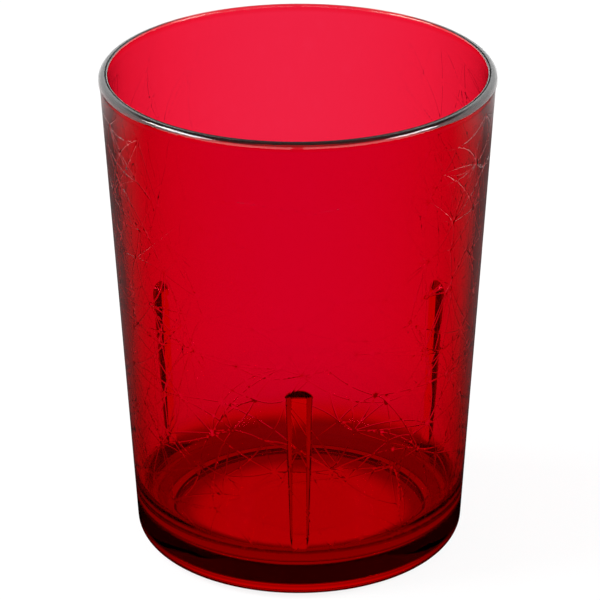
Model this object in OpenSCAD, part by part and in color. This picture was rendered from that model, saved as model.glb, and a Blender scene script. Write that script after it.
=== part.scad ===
// Stackable drinking tumbler, injection moulded in one piece from clear
// coloured plastic. It has straight drafted walls, a rounded lip, a floor
// that blends into the wall, a ring foot around a recessed underside, and
// stacking ribs inside. The axis is Z, and the table is at Z = 0.

/* [Body] */
// Diameter over the lip
rim_d = 82.5; // [70:0.5:100]
// Height from the table to the lip
height = 105.2; // [85:0.2:160]
// Draft of the wall on each side, in degrees
draft = 3.3; // [1:0.01:4]
// Thickness of the wall
wall = 1.8; // [1.6:0.05:3]
// Rounding on the outside of the lip
lip_outer_r = 1.15; // [0.6:0.05:1.2]
// Rounding on the inside of the lip
lip_inner_r = 0.35; // [0.1:0.05:0.4]
// How far the lip stands out from the line of the outside wall
lip_proud = 0.25; // [0.1:0.05:0.5]
// Hollow rounding between the outside wall and the lip
lip_neck_r = 1.0; // [0.5:0.1:3]

/* [Base] */
// Height of the inside floor above the table
floor_z = 4.7; // [3.5:0.1:8]
// Thickness of the floor
floor_t = 3.0; // [1.5:0.1:3.2]
// Blend between the inside wall and the floor
floor_blend_r = 11; // [3:0.5:12]
// Rounding between the outside wall and the foot
heel_r = 3.4; // [1.5:0.1:3.5]
// Radius of the recess inside the foot, where it meets the underside
recess_r = 28.9; // [24:0.1:31]
// Draft of the side of the recess, in degrees
recess_draft = 8; // [1:1:20]
// Inner radius of the shallow groove around the gate mark, on the underside
gate_groove_in_r = 10.6; // [6:0.1:12]
// Outer radius of the groove
gate_groove_out_r = 14.7; // [13:0.1:20]
// Depth of the groove
gate_groove_depth = 0.5; // [0.2:0.05:1]
// How far the gate mark lies off the axis, towards +X
gate_offset = 1.2; // [0:0.1:4]

/* [Stacking ribs] */
// Number of ribs
rib_count = 3; // [2:1:6]
// Height of the ledge on top of each rib, where the next tumbler's foot stops
rib_top_z = 47.5; // [30:0.1:60]
// How far a rib's crest stands off the wall at its ledge
rib_proud = 1.55; // [1:0.05:2.2]
// Width of the flat crest
rib_crest_w = 2.9; // [1.5:0.05:4]
// Lean of the crest, outwards towards the top, in degrees
rib_lean = 1.8; // [0.5:0.1:3]
// Slope of a rib's sides from the radial direction, in degrees
rib_side_slope = 42; // [20:1:45]
// How much the rib's end face climbs from its crest to the wall
rib_end_rise = 1.9; // [1:0.1:4]
// Rounding of the rib's upper corners
rib_end_r = 3.45; // [2.8:0.05:6]

/* [Hidden] */
$fn = 180;
eps = 0.01;
rim_r = rim_d / 2;

// Radius of the outside wall at a height, and of the inside wall. The
// lip's outer rounding, which is the widest point, stands out from it.
function outside_r(z) =
    rim_r - lip_outer_r + (lip_outer_r - lip_proud) / cos(draft)
    - (height - lip_outer_r - z) * tan(draft);
function inside_r(z) = outside_r(z) - wall / cos(draft);

// Points of an arc from one angle to another around a centre
function arc(centre, r, from, to, n = 12) =
    [for (i = [0:n]) centre + r * [cos(from + (to - from) * i / n), sin(from + (to - from) * i / n)]];

underside_z = floor_z - floor_t;
blend_c = [inside_r(floor_z + floor_blend_r) - floor_blend_r / cos(draft),
           floor_z + floor_blend_r];
heel_c = [outside_r(heel_r) - heel_r / cos(draft), heel_r];
lip_outer_c = [rim_r - lip_outer_r, height - lip_outer_r];
lip_inner_c = [inside_r(height) + lip_inner_r, height - lip_inner_r];

// The hollow rounding touches the wall's line and the lip's outer rounding
neck_off = lip_outer_r - lip_proud + lip_neck_r;
neck_turn = acos(neck_off / (lip_outer_r + lip_neck_r));
neck_c = lip_outer_c + (lip_outer_r + lip_neck_r) * [cos(neck_turn + draft), -sin(neck_turn + draft)];

// The wall leans out more than the crest does, so the rib stands proud by
// more towards its ledge
crest_r = inside_r(rib_top_z) - rib_proud;
rib_root_r = inside_r(rib_top_z + rib_end_rise) + wall / 2;
rib_flare = tan(rib_side_slope);
rib_root_w = rib_crest_w + 2 * (rib_root_r - crest_r) * rib_flare;

// The solid that the outside surface encloses, before it is hollowed
module outside_form() {
    rotate_extrude()
    polygon(concat(
        [[0, 0]],
        arc(heel_c, heel_r, -90, -draft),
        arc(neck_c, lip_neck_r, 180 - draft, 180 - draft - neck_turn, 5),
        arc(lip_outer_c, lip_outer_r, -draft - neck_turn, 90),
        [[0, height]]));
}

// The space inside the wall and above the floor, with nothing in it
module inside_form() {
    rotate_extrude()
    polygon(concat(
        [[0, floor_z]],
        arc(blend_c, floor_blend_r, -90, -draft, 20),
        arc(lip_inner_c, lip_inner_r, 180, 90),
        [[inside_r(height) + lip_inner_r, height + eps], [0, height + eps]]));
}

// One rib, as a wedge-sided bar that leans with the crest and is cut to
// shape from the side and from the front
module rib() {
    end_z = rib_top_z + rib_end_rise;
    intersection() {
        translate([0, -crest_r, rib_top_z])
        rotate([rib_lean, 0, 0])
        translate([0, 0, -height])
        linear_extrude(2 * height)
        polygon([[-rib_crest_w / 2, 0], [rib_crest_w / 2, 0],
                 [rib_root_w / 2, crest_r - rib_root_r], [-rib_root_w / 2, crest_r - rib_root_r]]);

        rotate([90, 0, 90])
        translate([0, 0, -rib_root_w])
        linear_extrude(2 * rib_root_w)
        polygon([[0, 0], [-crest_r, rib_top_z], [-crest_r - rib_proud, end_z],
                 [-rib_root_r - 1, end_z], [-rib_root_r - 1, 0]]);

        rotate([90, 0, 0])
        linear_extrude(rim_r) {
            translate([0, end_z - rib_end_r])
            circle(rib_end_r);
            translate([-rib_end_r, 0])
            square([2 * rib_end_r, end_z - rib_end_r]);
        }
    }
}

// The recess inside the foot, and the hollow groove around the gate mark
module underside_recess() {
    foot_r = recess_r + underside_z * tan(recess_draft);
    half_w = (gate_groove_out_r - gate_groove_in_r) / 2;
    groove_r = (half_w * half_w + gate_groove_depth * gate_groove_depth) / (2 * gate_groove_depth);
    translate([0, 0, -eps])
    cylinder(h = underside_z + eps, r1 = foot_r, r2 = recess_r);
    translate([gate_offset, 0, underside_z + gate_groove_depth - groove_r])
    rotate_extrude()
    translate([gate_groove_in_r + half_w, 0])
    circle(groove_r);
}

module tumbler() {
    color([0.77, 0.0, 0.13, 0.7])
    difference() {
        outside_form();
        difference() {
            inside_form();
            for (i = [0:rib_count - 1])
                rotate(i * 360 / rib_count)
                rib();
        }
        underside_recess();
    }
}

tumbler();
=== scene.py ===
import math
import random

import bpy
import numpy as np
from mathutils import Matrix, Vector, kdtree
from mathutils.geometry import delaunay_2d_cdt


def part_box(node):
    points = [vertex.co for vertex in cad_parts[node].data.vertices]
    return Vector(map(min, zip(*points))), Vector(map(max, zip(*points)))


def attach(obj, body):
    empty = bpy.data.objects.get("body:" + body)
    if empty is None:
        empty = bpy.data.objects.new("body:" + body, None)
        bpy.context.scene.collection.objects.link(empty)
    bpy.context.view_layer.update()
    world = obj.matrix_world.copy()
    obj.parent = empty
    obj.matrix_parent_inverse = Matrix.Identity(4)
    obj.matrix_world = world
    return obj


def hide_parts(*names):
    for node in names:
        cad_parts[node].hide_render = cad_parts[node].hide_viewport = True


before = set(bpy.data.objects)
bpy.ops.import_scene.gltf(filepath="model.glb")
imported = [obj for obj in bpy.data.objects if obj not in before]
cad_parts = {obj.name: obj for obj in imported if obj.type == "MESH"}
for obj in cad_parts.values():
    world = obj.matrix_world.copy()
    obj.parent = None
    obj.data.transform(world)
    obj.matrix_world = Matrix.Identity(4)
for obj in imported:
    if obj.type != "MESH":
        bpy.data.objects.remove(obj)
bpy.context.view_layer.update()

# The camera.
# A long lens looks down at the tumbler from the height of a seated photographer.
# The distance and the tilt come from fitting the outline of the real one.
MM = 0.001
camera_y = -664.0 * MM
camera_z = 357.9 * MM
look_z = 52.9 * MM
lens = 206.05
roll = math.radians(-0.2)
sideways_shift = 0.0023

camera_data = bpy.data.cameras.new("camera")
camera_data.sensor_width = 36
camera_data.lens = lens
camera_data.shift_x = sideways_shift
camera = bpy.data.objects.new("camera", camera_data)
bpy.context.scene.collection.objects.link(camera)
stand = Vector((0, camera_y, camera_z))
aim = (Vector((0, 0, look_z)) - stand).to_track_quat("-Z", "Y").to_matrix().to_4x4()
camera.matrix_world = Matrix.Translation(stand) @ aim @ Matrix.Rotation(roll, 4, "Z")
bpy.context.scene.camera = camera

# The moulding.
# The whole tumbler is one piece of clear red plastic, injected at the centre of its base.
# Its wall, lip, floor, foot and three stacking ribs are one skin around solid plastic.
box_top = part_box("tumbler")[1]
rim_r = box_top.x
height = box_top.z
draft = math.radians(3.3)
wall = 1.8 * MM
lip_outer_r = 1.15 * MM
lip_inner_r = 0.35 * MM
lip_proud = 0.25 * MM
lip_neck_r = 1.0 * MM
floor_z = 4.7 * MM
floor_t = 3.0 * MM
blend_r = 11 * MM
heel_r = 3.4 * MM
recess_r = 28.9 * MM
recess_draft = math.radians(8)
recess_corner_r = 0.4 * MM
foot_corner_r = 0.35 * MM
groove_in_r = 10.6 * MM
groove_out_r = 14.7 * MM
groove_depth = 0.12 * MM
gate_offset = 1.2 * MM
rib_count = 3
rib_top_z = 47.5 * MM
rib_proud = 1.55 * MM
rib_lean = math.tan(math.radians(1.8))
rib_crest_w = 2.9 * MM
rib_flare = math.tan(math.radians(42))
rib_end_rise = 1.9 * MM
rib_end_r = 3.45 * MM
rib_edge_r = 0.2 * MM
underside_z = floor_z - floor_t
ledge_margin_high = 0.4 * MM
ledge_margin_low = 1.4 * MM


def outside_r(z):
    """Radius of the drafted outside wall at a height."""
    lip_c_z = height - lip_outer_r
    lean_in = (lip_c_z - z) * math.tan(draft)
    return rim_r - lip_outer_r + (lip_outer_r - lip_proud) / math.cos(draft) - lean_in


def inside_r(z):
    """Radius of the inside wall at a height."""
    return outside_r(z) - wall / math.cos(draft)


def arc(centre, radius, start, end, steps):
    """Points of an arc between two angles in degrees, both ends included."""
    turns = [math.radians(start + (end - start) * i / steps) for i in range(steps + 1)]
    return [(centre[0] + radius * math.cos(t), centre[1] + radius * math.sin(t)) for t in turns]


def line(start, end, steps):
    """Points of a straight run, both ends included."""
    return [tuple(a + (b - a) * i / steps for a, b in zip(start, end)) for i in range(steps + 1)]


lean = math.degrees(draft)
foot_in_r = recess_r + underside_z * math.tan(recess_draft)
heel_c = (outside_r(heel_r) - heel_r / math.cos(draft), heel_r)
lip_outer_c = (rim_r - lip_outer_r, height - lip_outer_r)
lip_inner_c = (inside_r(height) + lip_inner_r, height - lip_inner_r)
blend_c = (inside_r(floor_z + blend_r) - blend_r / math.cos(draft), floor_z + blend_r)
crest_r = inside_r(rib_top_z) - rib_proud
rib_end_z = rib_top_z + rib_end_rise

# The section runs from the middle of the underside round the foot, up the
# outside, over the lip and down the inside to the middle of the floor.
underside = line((0, underside_z), (recess_r - recess_corner_r, underside_z), 30)
recess_lean = math.degrees(recess_draft)
recess_corner_c = (recess_r - recess_corner_r, underside_z - recess_corner_r)
recess_corner = arc(recess_corner_c, recess_corner_r, 90, recess_lean, 4)
foot_corner_c = (foot_in_r + foot_corner_r, foot_corner_r)
foot_corner = arc(foot_corner_c, foot_corner_r, 180 + recess_lean, 270, 4)
heel = arc(heel_c, heel_r, -90, -lean, 12)
neck_turn = math.acos(1 - lip_proud / (lip_outer_r + lip_neck_r))
neck_reach = lip_outer_r + lip_neck_r
neck_c = (lip_outer_c[0] + neck_reach * math.cos(neck_turn + draft),
          lip_outer_c[1] - neck_reach * math.sin(neck_turn + draft))
neck_end = 180 - lean - math.degrees(neck_turn)
neck = arc(neck_c, lip_neck_r, 180 - lean, neck_end, 6)
lip_outer = neck + arc(lip_outer_c, lip_outer_r, neck_end - 180, 90, 14)[1:]
lip_inner = arc(lip_inner_c, lip_inner_r, 90, 180, 4)
blend = arc(blend_c, blend_r, -lean, -90, 20)
ledge_high = rib_end_z + ledge_margin_high
ledge_low = rib_top_z - ledge_margin_low
inside_rows = [lip_inner_c[1] + (ledge_high - lip_inner_c[1]) * i / 12 for i in range(1, 12)]
inside_rows += [ledge_high + (ledge_low - ledge_high) * i / 22 for i in range(22)]
inside_rows += [ledge_low + (blend[0][1] - ledge_low) * i / 16 for i in range(16)]
section = underside + recess_corner + foot_corner + heel
band_z = 6 * MM
crackle_low_z = 9.5 * MM
crackle_high_z = 102.4 * MM
section += [(outside_r(z), z) for z in (band_z, crackle_low_z)]
crackle_row = len(section)
section += [(outside_r(crackle_high_z), crackle_high_z)]
inside_start = len(section) + len(lip_outer) + len(lip_inner)
section += lip_outer + lip_inner
section += [(inside_r(z), z) for z in inside_rows] + blend
section += line(blend[-1], (0, floor_z), 6)[1:]

# Columns of points run up the ribs at set distances from their middles, and
# stand every two and a half degrees between the ribs.
rib_half = [0, 0.5, 1.0, 1.25, 1.38, 1.46, 1.54, 1.66,
            1.85, 2.08, 2.3, 2.5, 2.66, 2.8, 2.98, 3.3]
rib_asides = np.array([-a for a in rib_half[:0:-1]] + rib_half) * MM
gap_columns = 44
narrowest = 24 * MM


def columns_at(r):
    """Angles of the columns round a ring of that radius."""
    turns = []
    aside = rib_asides / max(r, narrowest)
    for k in range(rib_count):
        middle = math.radians(-90 + k * 360 / rib_count)
        turns += list(middle + aside)
        between = math.tau / rib_count - 2 * aside[-1]
        turns += [middle + aside[-1] + between * i / gap_columns for i in range(1, gap_columns)]
    return np.array(turns)


def soft_max(a, b, blend_w):
    """The larger of two fields, rounded over where they cross."""
    mix = np.clip(0.5 + 0.5 * (a - b) / blend_w, 0, 1)
    return b + (a - b) * mix + blend_w * mix * (1 - mix)


def rib_radius(turn, z, wall_r):
    """Distance from the axis to the inside wall where ribs may stand on it."""
    step = math.tau / rib_count
    off = (turn + math.pi / 2 + step / 2) % step - step / 2
    crest = crest_r - (rib_top_z - z) * rib_lean
    end = np.full_like(off, (z - rib_top_z) * rib_proud / rib_end_rise)
    up = max(z - (rib_end_z - rib_end_r), 0)
    r = np.full_like(off, wall_r)
    for _ in range(3):
        aside = np.abs(r * np.sin(off))
        side = (aside - rib_crest_w / 2) / rib_flare
        corner = (np.hypot(aside, up) - rib_end_r) / rib_flare + rib_proud if up else side
        rise = soft_max(soft_max(side, end, rib_edge_r), corner, rib_edge_r)
        rise = soft_max(rise, 0 * side, rib_edge_r)
        r = -soft_max(-(crest + rise) / np.cos(off), np.full_like(off, -wall_r), 0.5 * rib_edge_r)
    return r


def groove_lift(x, y):
    """How far the underside is hollowed by the shallow groove around the gate mark."""
    half_w = (groove_out_r - groove_in_r) / 2
    off = (np.hypot(x - gate_offset, y) - groove_in_r - half_w) / half_w
    return groove_depth * np.clip(1 - off ** 2, 0, 1) ** 1.5


points = []
rings = []
for row, (r, z) in enumerate(section):
    if r < 1e-9:
        rings.append([len(points)])
        lift = float(groove_lift(0, 0)) if row == 0 else 0
        points.append((0, 0, z + lift))
        continue
    columns = columns_at(r)
    radii = np.full(len(columns), r)
    if inside_start <= row and z < rib_end_z + MM and z > floor_z + 0.2 * MM:
        radii = rib_radius(columns, z, r)
    x = radii * np.cos(columns)
    y = radii * np.sin(columns)
    heights = np.full(len(columns), z)
    if row < len(underside):
        heights = heights + groove_lift(x, y)
    rings.append(list(range(len(points), len(points) + len(columns))))
    points += list(zip(x.tolist(), y.tolist(), heights.tolist()))

faces = []
count = len(columns_at(rim_r))
for row, (a, b) in enumerate(zip(rings, rings[1:])):
    for k in range(count):
        n = (k + 1) % count
        if row + 1 == crackle_row:
            continue
        if len(a) == 1:
            faces.append((a[0], b[n], b[k]))
        elif len(b) == 1:
            faces.append((a[k], a[n], b[0]))
        else:
            faces.append((a[k], a[n], b[n], b[k]))

# The crackle on the outside wall.
# The mould gives it shallow creases that bow from knot to knot, with twigs at the knots.
# The wall is unrolled, the creases are drawn on it, and it is netted with points along them.
random.seed(11)
unroll_r = 38.9
around = math.tau * unroll_r
crease_half_w = 0.19
crease_depth = 0.028
crease_step = 0.9
knot_gap = (8.0, 9.0)
short_crease = 15.0
kept_share = 0.9
long_creases = 2
long_reach = (13.0, 24.0)
bow = 0.22
twigs = 1
twig_reach = (2.5, 6)
plain_gap = 2.6
least_gap = 0.03
least_depth = 0.08
plain_foot = 1.0
plain_top = 0.8
foot_fade = 2.0
end_fade = 2.5
low_z, high_z = crackle_low_z / MM, crackle_high_z / MM
seam = int(np.argmin(np.abs(columns_at(rim_r) - math.pi / 2)))
seam_u = math.pi / 2 * unroll_r


def jittered(gap_u, gap_z, spread):
    """Places on the unrolled wall, about a gap apart and never in rows."""
    for j in range(round((high_z - low_z) / gap_z) + 1):
        for i in range(round(around / gap_u)):
            shift = 0.5 * (j % 2)
            yield ((i + shift + random.uniform(-spread, spread)) * gap_u,
                   low_z + (j + random.uniform(-spread, spread)) * gap_z)


def worked(u, z):
    """How deep the creases are here, from 0 at the plain bands and the seam to 1."""
    foot_z = low_z + plain_foot + 0.6 * math.sin(u / 7) * math.sin(u / 3.1)
    fade = min((z - foot_z) / foot_fade, (high_z - plain_top - z) / end_fade,
               u / end_fade, (around - u) / end_fade, 1)
    return max(fade, 0)


def bowed(start, end):
    """A crease from one knot to another, as a bend between its ends."""
    side = Vector((start.y - end.y, end.x - start.x)) * random.uniform(-bow, bow)
    return start, (start + end) / 2 + side, end, random.uniform(0.35, 1), 1


strokes = []
knots = list(jittered(*knot_gap, 0.42))
netted = delaunay_2d_cdt([Vector(k) for k in knots], [], [], 0, 1e-6)
pairs = sorted({tuple(sorted(pair)) for a, b, c in netted[2]
                for pair in ((a, b), (b, c), (c, a))})
for a, b in pairs:
    start, end = (Vector(netted[0][i]) for i in (a, b))
    if (end - start).length < short_crease and random.random() < kept_share:
        strokes.append(bowed(start, end))
for knot in knots:
    start = Vector(knot)
    nearest, farthest = long_reach
    reached = [other for other in knots
               if nearest < (Vector(other) - start).length < farthest]
    drawn = min(long_creases, len(reached)) - (random.random() < 0.5)
    for other in random.sample(reached, drawn):
        strokes.append(bowed(start, Vector(other)))
for knot in knots:
    for _ in range(twigs):
        turn = random.uniform(0, math.tau)
        half = random.uniform(*twig_reach) * 0.5
        start = Vector(knot)
        middle = start + Vector((math.cos(turn), math.sin(turn))) * half
        turn += random.uniform(-0.6, 0.6)
        end = middle + Vector((math.cos(turn), math.sin(turn))) * half
        strokes.append((start, middle, end, random.uniform(0.35, 0.9), 0))


def stations(stroke, step):
    """Points along a crease, each with the direction across it and its depth."""
    start, bend, end, share, last = stroke
    steps = max(round((end - start).length / step), 2)
    for i in range(steps + 1):
        t = i / steps
        place = start * (1 - t) ** 2 + bend * 2 * t * (1 - t) + end * t ** 2
        along = (bend - start) * (1 - t) + (end - bend) * t
        across = Vector((-along.y, along.x)).normalized()
        depth = share * (1 - (1 - last) * t) * worked(place.x, place.y)
        if depth > least_depth:
            yield place, across, depth


middles = [place for stroke in strokes for place, _, _ in stations(stroke, 0.12)]
creases = kdtree.KDTree(len(middles))
for i, place in enumerate(middles):
    creases.insert((place.x, place.y, 0), i)
creases.balance()

net = []
taken = set()


def settle(place, near, depth, slope):
    """Adds a point of the net, unless another is there or a crease is nearer than it should be."""
    cell = (round(place.x / least_gap), round(place.y / least_gap))
    if cell in taken or creases.find((place.x, place.y, 0))[2] < near:
        return
    taken.update((cell[0] + i, cell[1] + j) for i in (-1, 0, 1) for j in (-1, 0, 1))
    net.append((place.x, place.y, depth, slope))


for offset, share in ((0.45, 0.55), (-0.45, 0.55), (1, 0), (-1, 0)):
    for stroke in strokes:
        for place, across, depth in stations(stroke, crease_step):
            steepest = 2 * depth * crease_depth / crease_half_w
            slope = across * math.copysign(steepest, offset) * (share > 0)
            near = 0.7 * abs(offset) * crease_half_w
            settle(place + across * offset * crease_half_w, near, depth * share, slope)
for place in jittered(plain_gap, plain_gap, 0.25):
    if 1 < place[0] < around - 1 and low_z + 0.7 < place[1] < high_z - 0.7:
        settle(Vector(place), 0.6, 0, Vector((0, 0)))

sheet = []
borders = []
turned = [(seam + i) % count for i in range(count)]
for ring, z in ((rings[crackle_row - 1], low_z), (rings[crackle_row], high_z)):
    columns = columns_at(outside_r(z * MM))
    for i, k in enumerate(turned + [seam]):
        lap = math.tau if i and k <= seam else 0
        sheet.append(Vector(((columns[k] + lap) * unroll_r - seam_u, z)))
        borders.append(ring[k])
seam_rows = round((high_z - low_z) / plain_gap)
for i in range(1, seam_rows):
    z = low_z + (high_z - low_z) * i / seam_rows
    for u in (0, around):
        sheet.append(Vector((u, z)))
        borders.append(len(points))
    turn = columns[seam]
    r = outside_r(z * MM)
    points.append((r * math.cos(turn), r * math.sin(turn), z * MM))
leans = {}
for u, z, depth, slope in net:
    sheet.append(Vector((u, z)))
    borders.append(len(points))
    turn = (u + seam_u) / unroll_r
    leans[len(points)] = (turn, slope)
    r = outside_r(z * MM) - depth * crease_depth * MM
    points.append((r * math.cos(turn), r * math.sin(turn), z * MM))
netted = delaunay_2d_cdt(sheet, [], [], 0, 1e-6)
origin = [borders[source[0]] for source in netted[3]]
faces += [tuple(origin[i] for i in face) for face in netted[2]]

skin = bpy.data.meshes.new("tumbler_moulding")
skin.from_pydata(points, [], faces)
skin.polygons.foreach_set("use_smooth", [True] * len(faces))
skin.update()
normals = [vertex.normal.copy() for vertex in skin.vertices]
for i in borders:
    turn, slope = leans.get(i, (math.atan2(points[i][1], points[i][0]), Vector((0, 0))))
    out = Vector((math.cos(turn), math.sin(turn), -math.tan(draft)))
    level_way = Vector((-math.sin(turn), math.cos(turn), 0))
    normals[i] = (out - level_way * slope.x - Vector((0, 0, slope.y))).normalized()
skin.normals_split_custom_set_from_vertices(normals)
moulding = bpy.data.objects.new("tumbler_moulding", skin)
bpy.context.scene.collection.objects.link(moulding)


class Socket:
    """An output of a shader node, on which maths is written as plain expressions."""

    def __init__(self, tree, out):
        self.tree = tree
        self.out = out

    @classmethod
    def add(cls, tree, kind, settings=None, values=None, out=0):
        """Adds a node of any kind, with its settings first and then its inputs."""
        node = tree.nodes.new(kind)
        for name, value in (settings or {}).items():
            setattr(node, name, value)
        for name, value in (values or {}).items():
            if isinstance(value, cls):
                tree.links.new(value.out, node.inputs[name])
            else:
                node.inputs[name].default_value = value
        return cls(tree, node.outputs[out]) if len(node.outputs) else None

    def math(self, operation, a, b=0.0):
        return Socket.add(self.tree, "ShaderNodeMath", {"operation": operation}, {0: a, 1: b})

    def __add__(self, other):
        return self.math("ADD", self, other)

    __radd__ = __add__

    def __sub__(self, other):
        return self.math("SUBTRACT", self, other)

    def __rsub__(self, other):
        return self.math("SUBTRACT", other, self)

    def __mul__(self, other):
        return self.math("MULTIPLY", self, other)

    __rmul__ = __mul__

    def __gt__(self, other):
        return self.math("GREATER_THAN", self, other)

    def __lt__(self, other):
        return self.math("LESS_THAN", self, other)

    def __abs__(self):
        return self.math("ABSOLUTE", self)


ruby = bpy.data.materials.new("ruby_plastic")
ruby.use_nodes = True
tree = ruby.node_tree
tree.nodes.clear()
refraction = 1.57
absorbed_per_mm = (0.052, 2.2, 1.55)
plastic = Socket.add(tree, "ShaderNodeBsdfPrincipled", {},
                     {"Base Color": (1, 1, 1, 1), "Roughness": 0.0, "IOR": refraction,
                      "Transmission Weight": 1.0})
most = max(absorbed_per_mm)
absorber = Socket.add(tree, "ShaderNodeVolumeAbsorption", {},
                      {"Color": tuple(1 - a / most for a in absorbed_per_mm) + (1,),
                       "Density": most / MM})
Socket.add(tree, "ShaderNodeOutputMaterial", {}, {"Surface": plastic, "Volume": absorber})
skin.materials.append(ruby)

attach(moulding, "root")
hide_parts("tumbler")

# The room.
# A white studio round the tumbler, with a brighter band near the horizon at the sides.
# The camera sees it as white, straight on and through the plastic.
scene = bpy.context.scene
scene.view_settings.view_transform = "Standard"
scene.cycles.max_bounces = 24
scene.cycles.transmission_bounces = 24
scene.cycles.glossy_bounces = 24
two_wall_light = (0.87, 1, 6.0, 1)
third_face = 3.5
mirror_turns = (0.5, 4.5)


def through_two(tree):
    """Colour of the white behind two walls, which three colour channels alone rob of blue."""
    crossings = Socket.add(tree, "ShaderNodeLightPath", out="Transmission Depth")
    return Socket.add(tree, "ShaderNodeMix", {"data_type": "RGBA"},
                      {0: crossings > third_face, 6: (1, 1, 1, 1), 7: two_wall_light}, out=2)


def seen_white(tree):
    """1 where the eye meets something directly or through clear plastic, 0 after a mirroring turn."""
    path = {name: Socket.add(tree, "ShaderNodeLightPath", out=name)
            for name in ("Is Camera Ray", "Is Transmission Ray", "Glossy Depth")}
    first = path["Is Camera Ray"]
    straight = first.math("MAXIMUM", first, path["Is Transmission Ray"])
    mirrored = path["Glossy Depth"]
    return straight * ((mirrored < mirror_turns[0]) + (mirrored > mirror_turns[1]))


world = bpy.data.worlds.new("studio")
scene.world = world
world.use_nodes = True
tree = world.node_tree
tree.nodes.clear()
high_level = 0.2
inside_level = 0.3
side_start = 0.03
side_end = 0.06
horizon_level = 1.7
horizon_top = 0.6
horizon_blur = 0.1
white = seen_white(tree)
ray = Socket.add(tree, "ShaderNodeTexCoord", out="Generated")
rise = Socket.add(tree, "ShaderNodeSeparateXYZ", {}, {0: ray}, out="Z")
aside = Socket.add(tree, "ShaderNodeSeparateXYZ", {}, {0: ray}, out="X")
sides = Socket.add(tree, "ShaderNodeMapRange", {"interpolation_type": "SMOOTHSTEP"},
                   {"Value": abs(aside), "From Min": side_start, "From Max": side_end})
band = Socket.add(tree, "ShaderNodeMapRange", {"interpolation_type": "SMOOTHSTEP"},
                  {"Value": rise, "From Min": horizon_top - horizon_blur,
                   "From Max": horizon_top + horizon_blur,
                   "To Min": horizon_level, "To Max": high_level})
inside = Socket.add(tree, "ShaderNodeLightPath", out="Transmission Depth") > 0.5
room = (high_level + (band - high_level) * sides) * (1 - inside) + inside * inside_level
level = white + (1 - white) * room
sky = Socket.add(tree, "ShaderNodeBackground", {}, {"Color": through_two(tree), "Strength": level})
Socket.add(tree, "ShaderNodeOutputWorld", {}, {"Surface": sky})

# The table.
# White paper on a table top. It keeps the tumbler's faint shadow from the lamps. Through the plastic
# it shows a painted shadow under the base and a painted contact shadow round the foot, and to the
# rays that the plastic mirrors inside itself it glows as a painted reflection, dim near the tumbler
# and brighter far behind it.
table_half = 3.0
table_mesh = bpy.data.meshes.new("table")
corners = [(-table_half, -table_half, 0), (table_half, -table_half, 0),
           (table_half, table_half, 0), (-table_half, table_half, 0)]
table_mesh.from_pydata(corners, [], [(0, 1, 2, 3)])
table = bpy.data.objects.new("table", table_mesh)
scene.collection.objects.link(table)
paper = bpy.data.materials.new("table_paper")
paper.use_nodes = True
tree = paper.node_tree
tree.nodes.clear()
# Levels and reaches of the painted shadows and of the painted reflection glow below.
dark_share = 0.12
painted_under_shadow_level = 0.76
under_r = 30 * MM
open_r = 100 * MM
contact_r = 33 * MM
painted_contact_shadow_level = 0.4
contact_half_w = 6 * MM
contact_fade_end = 13 * MM
glow_share = 0.85
near_end = 0.22
far_start = 0.34
near_level = 0.09
far_level = 1.5
front_inside_level = 0.5
behind_start = 0.12
white = seen_white(tree)
camera_ray = Socket.add(tree, "ShaderNodeLightPath", out="Is Camera Ray")
diffuse_ray = Socket.add(tree, "ShaderNodeLightPath", out="Is Diffuse Ray")
lit = Socket.add(tree, "ShaderNodeBsdfDiffuse", {}, {"Color": (0.82, 0.82, 0.82, 1)})
glow = Socket.add(tree, "ShaderNodeEmission", {}, {"Color": (1, 1, 1, 1), "Strength": 1.0})
spot = Socket.add(tree, "ShaderNodeNewGeometry", out="Position")
reach = Socket.add(tree, "ShaderNodeVectorMath", {"operation": "LENGTH"}, {0: spot}, out="Value")
back = Socket.add(tree, "ShaderNodeSeparateXYZ", {}, {0: spot}, out="Y")
# Painted reflection: to rays mirrored by the plastic the table glows dim near the tumbler, up to 1.5
# far behind it, and at set levels inside the plastic.
behind = Socket.add(tree, "ShaderNodeMapRange", {"interpolation_type": "SMOOTHSTEP"},
                    {"Value": back, "From Min": 0.0, "From Max": behind_start})
far = Socket.add(tree, "ShaderNodeMapRange", {"interpolation_type": "SMOOTHSTEP"},
                 {"Value": reach, "From Min": near_end, "From Max": far_start,
                  "To Min": near_level, "To Max": far_level})
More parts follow.
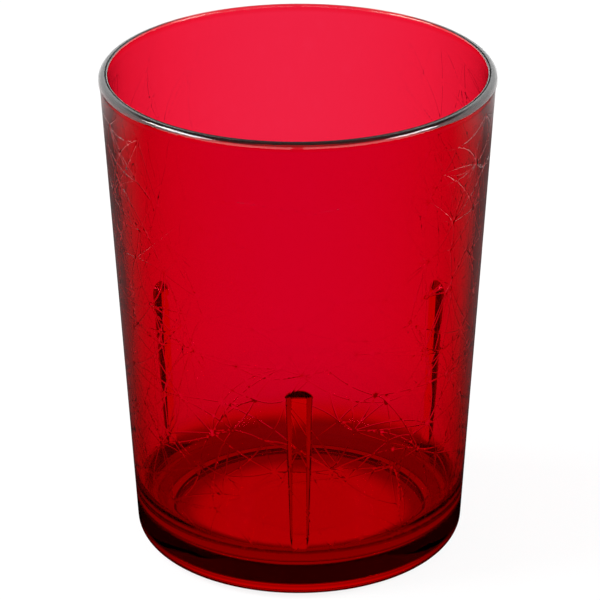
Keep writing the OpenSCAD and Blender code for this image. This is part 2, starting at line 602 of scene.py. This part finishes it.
inside = Socket.add(tree, "ShaderNodeLightPath", out="Transmission Depth") > 0.5
guided = front_inside_level + (dark_share - front_inside_level) * behind
painted_reflection_level = far * behind * (1 - inside) + inside * guided
painted_reflection_glow = Socket.add(tree, "ShaderNodeEmission", {},
                 {"Color": (1, 1, 1, 1), "Strength": painted_reflection_level})
# Painted shadow: the table's glow seen through the plastic is darker under the base.
painted_under_shadow = Socket.add(tree, "ShaderNodeMapRange", {"interpolation_type": "SMOOTHSTEP"},
                   {"Value": reach, "From Min": under_r, "From Max": open_r,
                    "To Min": painted_under_shadow_level, "To Max": 1.0})
# Painted contact shadow: a darker ring of the table's glow round the foot, seen only through the
# plastic.
off_foot = abs(reach - contact_r)
painted_contact_shadow = Socket.add(tree, "ShaderNodeMapRange", {"interpolation_type": "SMOOTHSTEP"},
                     {"Value": off_foot, "From Min": contact_half_w, "From Max": contact_fade_end,
                      "To Min": painted_contact_shadow_level, "To Max": 1.0})
through = Socket.add(tree, "ShaderNodeEmission", {},
                     {"Color": through_two(tree), "Strength": painted_under_shadow * painted_contact_shadow})
bare = Socket.add(tree, "ShaderNodeMixShader", {}, {0: glow_share, 1: lit, 2: glow})
shown = Socket.add(tree, "ShaderNodeMixShader", {}, {0: camera_ray, 1: through, 2: bare})
other = Socket.add(tree, "ShaderNodeMixShader", {}, {0: diffuse_ray, 1: painted_reflection_glow, 2: lit})
both = Socket.add(tree, "ShaderNodeMixShader", {}, {0: white, 1: other, 2: shown})
Socket.add(tree, "ShaderNodeOutputMaterial", {}, {"Surface": both})
table_mesh.materials.append(paper)


# The lamps.
# A large softbox hangs on each side, above the tumbler and a little in front of it.
# Only surfaces reflect them; the view through the plastic does not hold them.
def softbox(name, place, size, power):
    """A rectangular lamp that faces the tumbler."""
    data = bpy.data.lights.new(name, "AREA")
    data.shape = "RECTANGLE"
    data.size = size[0]
    data.size_y = size[1]
    data.energy = power
    lamp = bpy.data.objects.new(name, data)
    scene.collection.objects.link(lamp)
    lamp.location = place
    lamp.rotation_euler = (Vector((0, 0, 0.05)) - lamp.location).to_track_quat("-Z", "Y").to_euler()
    lamp.visible_transmission = False


softbox("softbox_left", (-0.62, -0.05, 0.68), (0.55, 0.35), 9)
softbox("softbox_right", (0.66, -0.16, 0.62), (0.40, 0.25), 5)
